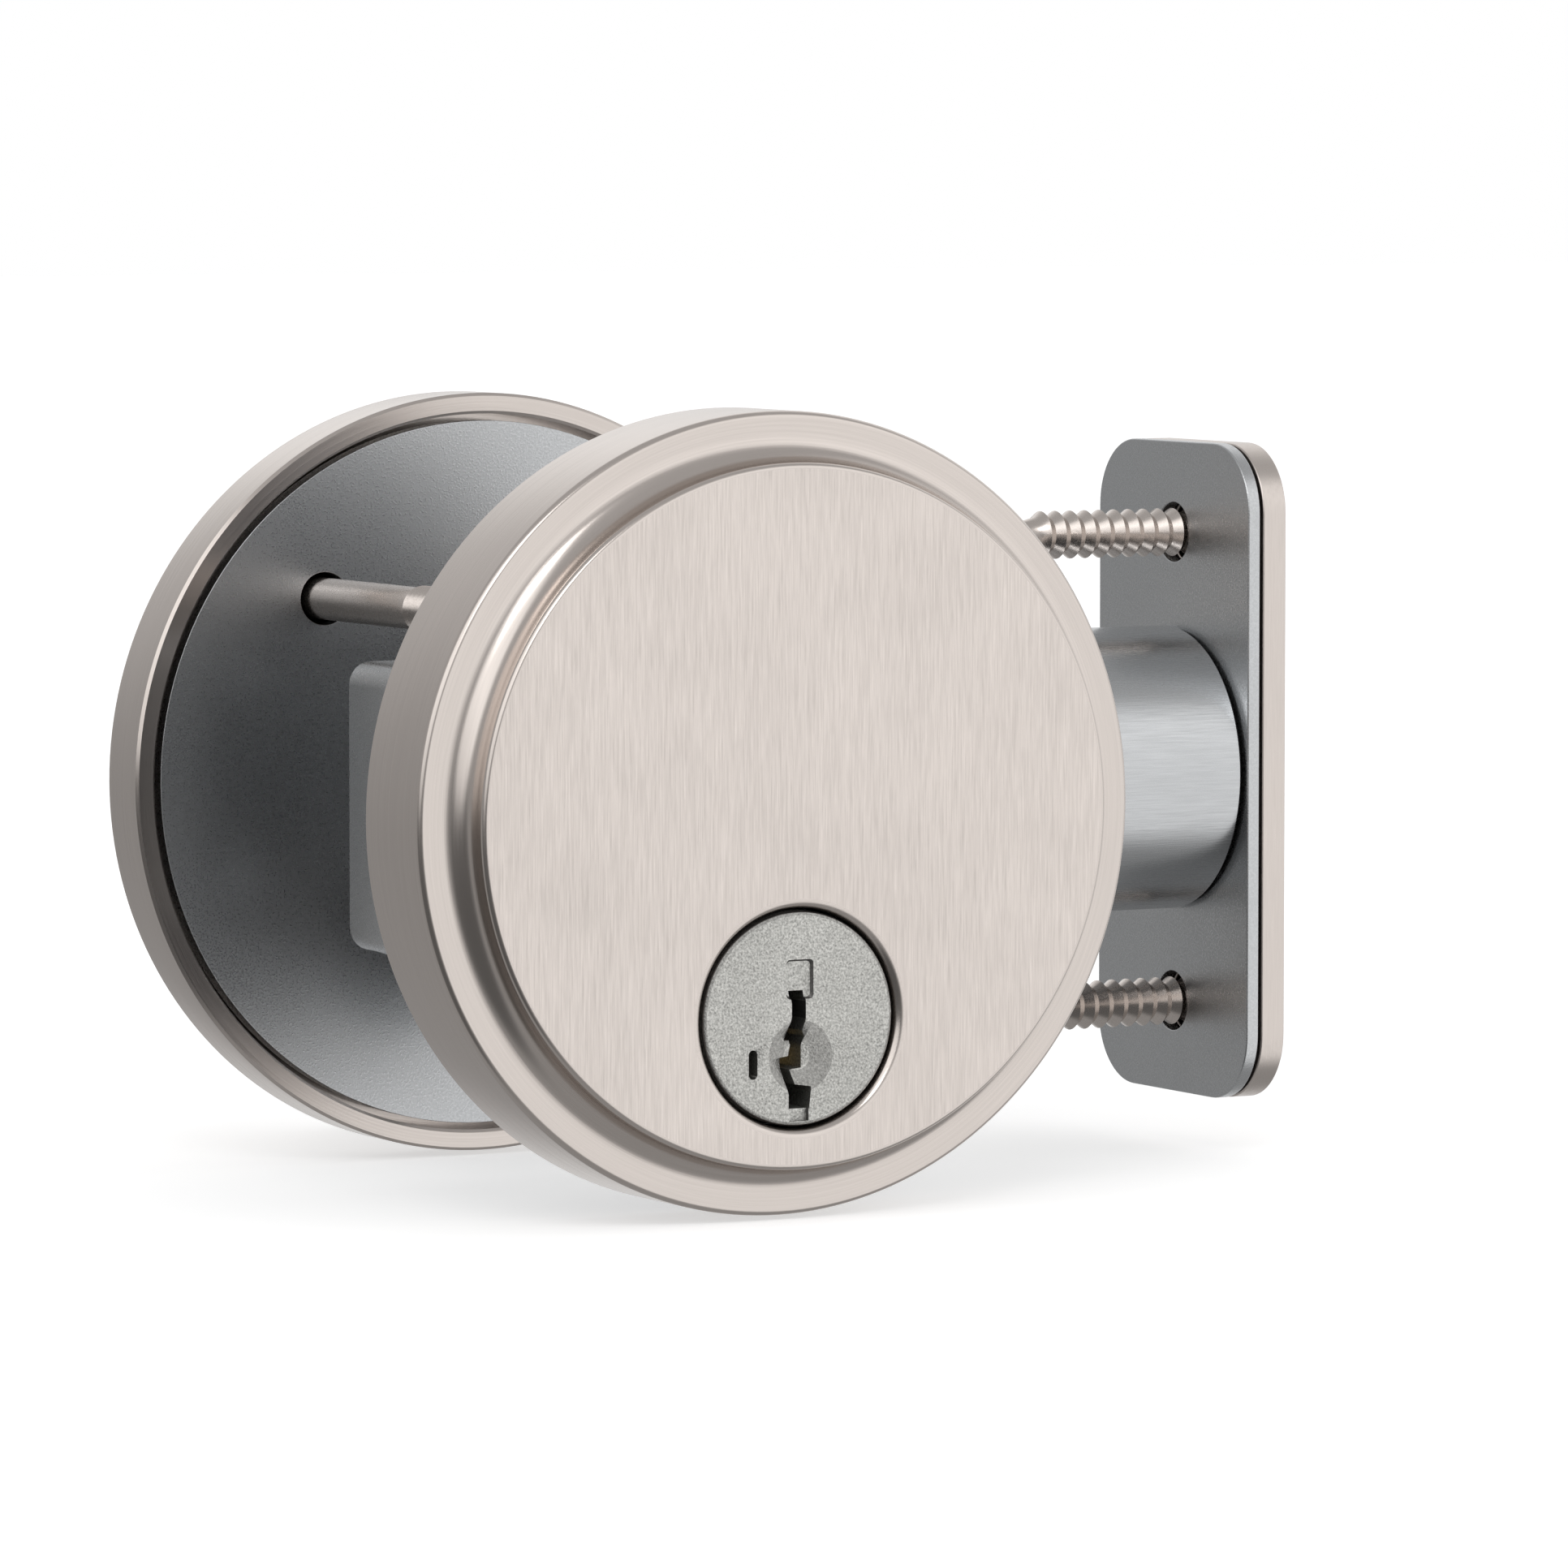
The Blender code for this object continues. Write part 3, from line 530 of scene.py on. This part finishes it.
def key_plug():
    front = PLUG_FRONT
    radius, tail, groove = PLUG_R + PLUG_GROWTH, 7.0, 6.0
    profile = [
        (0, front), (radius - 0.35, front), (radius - 0.12, front + 0.08), (radius, front + 0.3),
        (radius, 9.0), (tail, 9.0), (tail, 10.2), (groove, 10.2), (groove, 11.6), (tail, 11.6),
        (tail, PLUG_HIGH.y - 0.3), (tail - 0.3, PLUG_HIGH.y), (0, PLUG_HIGH.y),
    ]
    plug = turned("plug", profile, ON_AXIS, steps=128)
    floor_y = front + DIMPLE_DEPTH
    dimple = [(0, front - 1), (5.4, front - 1), (2.95, front), (1.2, floor_y), (0, floor_y)]
    tools = [
        turned("dimple", dimple, (0.2, TURN_Z - 3.1), steps=96),
        drafted_recess((-1.1, 1.4), (1.6, 4.85), front, 0.3, 0.16),
        prism("notch", at_plug(rectangle((-0.85, 0.95), (-8.4, -7.2))), front - 1, front + 0.45),
        prism("keyway", KEYWAY, front - 1, 8.4),
        prism("reset", at_plug(rounded((-4.6, -3.8), (-4.8, -2.4), 0.38)), front - 1, front + 6),
        block("sidebar_slot", (-PLUG_R - 2, -6.1), (-6.8, 7.8), (TURN_Z - 1.3, TURN_Z + 1.3)),
        block("socket", BLADE_SLOT, (9.2, 14), (TURN_Z - BLADE_HEIGHT, TURN_Z + BLADE_HEIGHT)),
    ]
    for number in WAFERS:
        y = middle(f"wafer_{number}").y
        ys = y - 0.9, y + 0.9
        tools.append(block("chamber", (-2.6, 2.6), ys, (TURN_Z - 6.6, TURN_Z + 7.6)))
        tools.append(block("pocket", (2.4, 5.1), ys, (TURN_Z - 2.9, TURN_Z + 6.2)))
    cut(plug, *tools)
    soften(plug, 0.05, 1, 40)
    # Plain plug, then the dimple darkened as painted shade, then the recess walls in near-black
    # painted shade.
    looks = [plug_nickel, dimple_nickel_painted_shade, plug_painted_shade]
    finished(plug, CYLINDER, looks, ["key_plug"])
    mark_plug(plug, front)


def cylinder_housing():
    """Die-cast carrier that fills the rose, with the bore for the plug."""
    low, high = extent("cylinder_housing")
    flange = high.x
    profile = [
        (0, low.y), (flange - 0.4, low.y), (flange, low.y + 0.4), (flange, -GAP - 0.3),
        (flange - 0.3, -GAP), (0, -GAP),
    ]
    housing = turned("housing", profile, steps=128)
    lobe_r, chamfer = 10.35, 0.5
    lobe = [
        (0, -2), (lobe_r, -2), (lobe_r, high.y - chamfer), (lobe_r - chamfer, high.y), (0, high.y),
    ]
    join(housing, turned("lobe", lobe, ON_AXIS, steps=96))
    tools = [
        rod("bore", BORE_R, FACE_Y, high.y + 3, ON_AXIS, steps=96),
        block("groove", (-PLUG_R - 0.9, 0), (-6.8, high.y + 1), (TURN_Z - 1.4, TURN_Z + 1.4)),
    ]
    for x in (-POST_X, POST_X):
        tools.append(rod("post_hole", 3.7, -6, 3, (x, POST_Z)))
    for x, z, radius in ((0, 14.5, 7.5), (-19.5, -6.0, 6.0), (19.5, -6.0, 6.0)):
        tools.append(rod("pocket", radius, -4.5, 3, (x, z)))
    cut(housing, *tools)
    soften(housing, 0.2, 2)
    finished(housing, CASE, zinc, ["cylinder_housing"])


def mounting_post(side, x):
    low, high = extent(f"mounting_post_{side}")
    profile = [
        (2.3, low.y + 3.7), (2.3, high.y - 0.5), (2.8, high.y), (3.0, high.y), (3.4, high.y - 0.4),
        (3.4, low.y + 0.3), (3.1, low.y), (0, low.y), (0, low.y + 3.7),
    ]
    post = turned(f"post_{side}", profile, (x, POST_Z), steps=48)
    finished(post, CASE, plated, [f"mounting_post_{side}"])


def guard_plate():
    low, high = extent("guard_plate")
    radius = high.x
    profile = [
        (0, low.y), (radius - 0.3, low.y), (radius, low.y + 0.3), (radius, high.y - 0.3),
        (radius - 0.3, high.y), (0, high.y),
    ]
    plate = turned("guard", profile, steps=96)
    cut(plate, rod("hole", BORE_R, low.y - 2, high.y + 2, ON_AXIS, steps=96))
    finished(plate, CASE, hard_steel, ["guard_plate"])


# ---------------------------------------------------------------- bolt and its case
RIVETS = [middle(f"case_rivet_{number}") for number in range(1, 5)]


def case_outline(low, high, inset):
    radius = CASE_LOBE_R - inset
    right, left = high.x - inset, low.x + inset
    top, bottom = high.z - inset, CASE_BOTTOM + inset
    corner = 2.0 - min(inset, 1.2)
    outline = [(radius, bottom)]
    outline += arc((right - corner, bottom + corner), corner, -90, 0, 6)
    outline += arc((right - corner, top - corner), corner, 0, 90, 6)
    outline += arc((left + corner, top - corner), corner, 90, 180, 6)
    outline += arc((left + corner, bottom + corner), corner, 180, 270, 6)
    return outline + arc(ON_AXIS, radius, 180, 360, 32)


def case_shell(name, outer_y, inner_y):
    """One pressed half of the bolt case, with stiffening beads and rivet holes."""
    low, high = extent(name)
    outward = math.copysign(1.0, outer_y - inner_y)
    shell = prism("shell", case_outline(low, high, 0.0), *sorted((outer_y, inner_y)))
    inward = outward * CASE_WALL
    hollow = prism(
        "hollow", case_outline(low, high, CASE_WALL), *sorted((outer_y - inward, inner_y - inward))
    )
    through = MID_Y - 20, MID_Y + 20
    tools = [
        hollow, rod("hub_hole", HUB_HOLE_R, *through, ON_AXIS),
        block("mouth", (15, 30), (MID_Y - 4, MID_Y + 5.5), (-4, 5)),
    ]
    for place in RIVETS:
        tools.append(rod("rivet_hole", 1.3, *through, (place.x, place.z), steps=24))
    for z in (-5.0, 5.0):
        bead = prism(
            "bead", rounded((-11.0, 11.0), (z - 1.1, z + 1.1), 1.05), outer_y - 0.45, outer_y + 0.45
        )
        tools.append(bead)
    cut(shell, *tools)
    soften(shell, 0.22, 2)
    finished(shell, CASE, plated, [name])


def bolt_case():
    case_shell("bolt_case_outer", extent("bolt_case_outer")[0].y, MID_Y - GAP / 2)
    case_shell("bolt_case_inner", extent("bolt_case_inner")[1].y, MID_Y + GAP / 2)
    shank, brow, head, height = 1.0, 1.5, 1.8, 0.9
    for number, place in enumerate(RIVETS, 1):
        low, high = extent(f"case_rivet_{number}")
        profile = [
            (0, low.y), (shank, low.y), (brow, low.y + 0.25), (head, low.y + height),
            (shank, low.y + height), (shank, high.y - height), (head, high.y - height),
            (brow, high.y - 0.25), (shank, high.y), (0, high.y),
        ]
        rivet = turned(f"rivet_{number}", profile, (place.x, place.z), steps=32, smooth=50)
        finished(rivet, CASE, plated, [f"case_rivet_{number}"])


def bolt_tube():
    low, high = extent("bolt_tube")
    inner, outer, collar = 11.4, 12.4, 13.4
    profile = [
        (inner, low.x), (collar - 0.3, low.x), (collar, low.x + 0.3), (collar, low.x + 0.9),
        (collar - 0.3, low.x + 1.2), (outer + 0.2, low.x + 1.2), (outer, low.x + 1.5),
        (outer, high.x - 0.3), (outer - 0.3, high.x), (inner + 0.2, high.x), (inner, high.x - 0.2),
    ]
    tube = turned("tube", profile, (MID_Y, 0), "X", 96)
    finished(tube, CASE, tube_steel, ["bolt_tube"])


def faceplates():
    width, height = 8.4, 9.4
    window = rounded((MID_Y - width, MID_Y + width), (-height, height), 3.3, 10)
    for name, look, slot, deep in (
        ("faceplate_backing", plated, "plated_steel", False),
        ("bolt_faceplate", edge_nickel, "satin_nickel", True),
    ):
        low, high = extent(name)
        outline = rounded((low.y, high.y), (low.z, high.z), 6.0, 16)
        plate = prism("plate", outline, low.x, high.x, "X")
        tools = [prism("window", window, low.x - 1, high.x + 1, "X")]
        hole = 2.6
        top = 4.5 if deep else hole
        sink = [
            (0, low.x - 1), (hole, low.x - 1), (hole, high.x - 2.0 if deep else low.x),
            (top, high.x), (top, high.x + 1), (0, high.x + 1),
        ]
        for which in ("upper", "lower"):
            z = middle(f"faceplate_screw_{which}").z
            tools.append(turned("sink", sink, (MID_Y, z), "X", 48))
        cut(plate, *tools)
        soften(plate, 0.3 if deep else 0.15, 3)
        finished(plate, CASE, look, [name])


def cross_recess(centre_a, centre_b, face, inward, axis):
    """Tapered cross of a Phillips drive, as two crossed cutters."""
    low, high = sorted((face - inward, face + 1.3 * inward))
    reach, thin = 1.9, 0.42
    first = (centre_a - reach, centre_a + reach), (centre_b - thin, centre_b + thin)
    second = (centre_a - thin, centre_a + thin), (centre_b - reach, centre_b + reach)
    return [prism("drive", rounded(*sides, 0.2, 3), low, high, axis) for sides in (first, second)]


def thread(radius, start, end, pitch, depth):
    """Points of a ring-cut thread, from start to end along the screw."""
    points = []
    count = max(1, round(abs(end - start) / pitch))
    step = (end - start) / count
    for i in range(count):
        points += [(radius - depth, start + step * i), (radius, start + step * (i + 0.5))]
    return points + [(radius - depth, end)]


def faceplate_screw(which):
    name = f"faceplate_screw_{which}"
    low, high = extent(name)
    z = middle(name).z
    head = high.x
    profile = [(0, low.x), (0.4, low.x + 0.3), (1.3, low.x + 3.0)]
    profile += thread(2.1, low.x + 4.0, head - 3.0, 1.5, 0.55)
    profile += [
        (2.05, head - 2.0), (4.15, head - 0.35), (4.2, head - 0.15), (4.05, head), (0, head),
    ]
    screw = turned("screw", profile, (MID_Y, z), "X", 64)
    cut(screw, *cross_recess(MID_Y, z, head, -1, "X"))
    finished(screw, CASE, screw_nickel, [name])


def mounting_screw(side, x):
    name = f"mounting_screw_{side}"
    low, high = extent(name)
    head = high.y
    profile = [(0, low.y), (1.4, low.y + 0.1)]
    profile += thread(2.0, low.y + 0.6, low.y + 22.0, 0.8, 0.3)
    seat = INNER_FACE_Y
    profile += [
        (1.8, low.y + 23), (1.8, seat - 3), (2.0, seat - 1.5), (4.35, seat), (4.3, seat + 0.15),
        (3.2, seat + 0.6), (1.8, seat + 0.83), (0, head),
    ]
    screw = turned("screw", profile, (x, POST_Z), "Y", 64, smooth=40)
    cut(screw, *cross_recess(x, POST_Z, head, -1, "Y"))
    finished(screw, CASE, screw_nickel, [name])


def bolt_bar():
    low, high = extent("bolt_bar")
    bar = prism("bar", rounded((low.y, high.y), (low.z, high.z), 3.0, 12), low.x, high.x, "X")
    roller_y = middle("bolt_roller_pin").y
    cut(
        bar,
        block("pocket", (low.x - 1, low.x + 10), (MID_Y + 2.5, MID_Y + 5.1), (-3.3, 4.3)),
        rod("roller_hole", 3.05, low.x - 1, high.x - 4.5, (roller_y, 0), "X"),
        rod("pin_hole", 1.8, MID_Y + 0.3, MID_Y + 12, (low.x + 5, 0.5), steps=32),
    )
    soften(bar, 0.5, 3)
    finished(bar, BOLT, bolt_nickel, ["bolt_bar"])


# ---------------------------------------------------------------- inner side
def interior_plate():
    low, high = extent("interior_plate")
    plate = rod("plate", high.x, low.y, high.y, steps=128)
    tools = [rod("turn_hole", 7.0, low.y - 1, high.y + 1, ON_AXIS, steps=64)]
    for x in (-POST_X, POST_X):
        hole = rod("screw_hole", SCREW_HOLE_R, low.y - 1, high.y + 1, (x, POST_Z), steps=32)
        tools.append(hole)
    cut(plate, *tools)
    soften(plate, 0.2, 2)
    finished(plate, CASE, plated, ["interior_plate"])


def thumbturn():
    """Turned base and stem with a waisted grip, hollow for the torque blade."""
    seat = INNER_FACE_Y + GAP
    low, high = extent("thumbturn")
    stem, groove, base = 6.0, 5.0, 9.5
    groove_start, groove_end = INNER_FACE_Y - 5.6, INNER_FACE_Y - 4.1
    profile = [
        (0, low.y), (stem - 0.3, low.y), (stem, low.y + 0.3), (stem, groove_start),
        (groove, groove_start), (groove, groove_end), (stem, groove_end), (stem, seat),
        (base - 0.2, seat), (base, seat + 0.2), (base, seat + 1.9), (9.35, seat + 2.3),
        (8.7, seat + 2.9), (8.3, seat + 3.0), (0, seat + 3.0),
    ]
    turn = turned("turn", profile, ON_AXIS, steps=96)
    half = (high.z - low.z) / 2
    waist, flare = 2.25, 0.7
    outline = []
    steps = 14
    for side in (1, -1):
        for i in range(steps + 1):
            z = half * (-1 + 2 * i / steps) * side
            outline.append((side * (waist + flare * (z / half) ** 2), z))
    grip = prism("grip", at_plug(outline), seat + 1.5, high.y)
    soften(grip, 1.1, 5, 40)
    grip.modifiers.clear()
    join(turn, grip)
    cut(turn, block("socket", BLADE_SLOT, (INNER_FACE_Y - 9, INNER_FACE_Y + 5.4),
                    (TURN_Z - BLADE_HEIGHT, TURN_Z + BLADE_HEIGHT)))
    shade(turn, 38)
    finished(turn, TRAIN, turn_nickel, ["thumbturn"])


exterior_rose()
interior_rose()
key_plug()
cylinder_housing()
guard_plate()
for side, x in (("left", -POST_X), ("right", POST_X)):
    mounting_post(side, x)
    mounting_screw(side, x)
bolt_case()
bolt_tube()
faceplates()
for which in ("upper", "lower"):
    faceplate_screw(which)
bolt_bar()
interior_plate()
thumbturn()


# ---------------------------------------------------------------- looks of the CAD nodes that stay
STAYING = {
    "plug_clip": spring_steel, "torque_blade": plated, "bolt_cam": plated,
    "thumbturn_clip": spring_steel, "thumbturn_washer": plated, "bolt_tail": plated,
    "bolt_tail_pin": hard_steel, "roller_pin_cap": plated, "bolt_roller_pin": hard_steel,
    "plug_sidebar": brass,
}
for number in WAFERS:
    STAYING[f"wafer_{number}"] = brass
    STAYING[f"wafer_spring_{number}"] = spring_steel
for name, look in STAYING.items():
    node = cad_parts[name]
    for place in node.material_slots:
        place.material = look


# ---------------------------------------------------------------- studio
PANELS = [
    # direction of the middle, edge and full as cosines, level added, lowest height it reaches
    ((0.60, -0.80, 0.00), 0.62, 0.78, 0.68, -9.0),
    ((0.07, 0.85, 0.50), 0.80, 0.97, 0.14, 0.0),
    ((-0.75, -0.48, 0.42), 0.83, 0.90, 0.85, 0.0),
    ((-0.80, -0.50, -0.30), 0.74, 0.86, -0.22, -9.0),
    ((0.72, 0.66, 0.10), 0.55, 0.80, 0.45, -9.0),
]


LOW, HIGH = -0.1, 0.5            # heights between which the grey rises
DIM, BRIGHT = 0.34, 0.48         # grey below and above them


def world_light():
    """Grey studio with soft panels, one of them dark. The camera sees white behind the lock."""
    world = bpy.data.worlds.new("studio")
    bpy.context.scene.world = world
    world.use_nodes = True
    tree = world.node_tree
    back = tree.nodes["Background"]
    direction = tree.nodes.new("ShaderNodeTexCoord").outputs["Generated"]
    split = tree.nodes.new("ShaderNodeSeparateXYZ")
    wire(tree, direction, split.inputs[0])
    height = split.outputs[2]
    level = remap(tree, height, LOW, HIGH, DIM, BRIGHT)
    for way, edge, full, strength, lowest in PANELS:
        toward = vector_node(tree, "DOT_PRODUCT", direction, tuple(Vector(way).normalized()))
        panel = remap(tree, toward, edge, full, 0.0, strength)
        above = remap(tree, height, lowest - 0.03, lowest + 0.05, 0.0, 1.0)
        level = math_node(tree, "ADD", level, math_node(tree, "MULTIPLY", panel, above))
    seen = tree.nodes.new("ShaderNodeLightPath").outputs["Is Camera Ray"]
    strength = math_node(tree, "MAXIMUM", level, seen)
    wire(tree, strength, back.inputs["Strength"])
    back.inputs["Color"].default_value = (1.0, 1.0, 1.0, 1.0)


def key_light():
    """Softbox in front of the lock, above it and to the left."""
    light = bpy.data.lights.new("key_light", "AREA")
    light.shape = "SQUARE"
    light.size = 0.5
    light.energy = 2.0
    place = Vector((-0.5, -0.9, 0.9))
    lamp = bpy.data.objects.new("key_light", light)
    lamp.location = place
    lamp.rotation_euler = (-place).to_track_quat("-Z", "Y").to_euler()
    bpy.context.scene.collection.objects.link(lamp)


def floor():
    """Pale floor just under the lock, left out of reflections."""
    half_width, drop = 4000.0, 0.4
    bm = bmesh.new()
    bmesh.ops.create_grid(bm, x_segments=1, y_segments=1, size=half_width)
    plane = add_object("floor", bm)
    plane.location.z = cad_low.z - drop * MM
    material = bpy.data.materials.new("pale_floor")
    material.use_nodes = True
    tree = material.node_tree
    shader = tree.nodes["Principled BSDF"]
    shader.inputs["Base Color"].default_value = (0.86, 0.86, 0.86, 1.0)
    shader.inputs["Roughness"].default_value = 0.9
    shader.inputs["Specular IOR Level"].default_value = 0.0
    shader.inputs["Emission Color"].default_value = (1.0, 1.0, 1.0, 1.0)
    shader.inputs["Emission Strength"].default_value = 0.50
    plane.data.materials.append(material)
    plane.visible_glossy = False


def camera():
    azimuth, elevation = math.radians(-28.5), math.radians(4.2)
    distance, width = 0.78, 0.134
    target = Vector((0.0165, 0.020, 0.0))
    back = Vector((
        math.sin(azimuth) * math.cos(elevation),
        -math.cos(azimuth) * math.cos(elevation),
        math.sin(elevation),
    ))
    data = bpy.data.cameras.new("camera")
    data.sensor_width = 36.0
    data.lens = data.sensor_width * distance / width
    data.clip_start = 0.01
    data.clip_end = 50.0
    lens = bpy.data.objects.new("camera", data)
    lens.location = target + back * distance
    lens.rotation_euler = back.to_track_quat("Z", "Y").to_euler()
    bpy.context.scene.collection.objects.link(lens)
    bpy.context.scene.camera = lens


bpy.context.scene.view_settings.view_transform = "Standard"
world_light()
key_light()
floor()
camera()
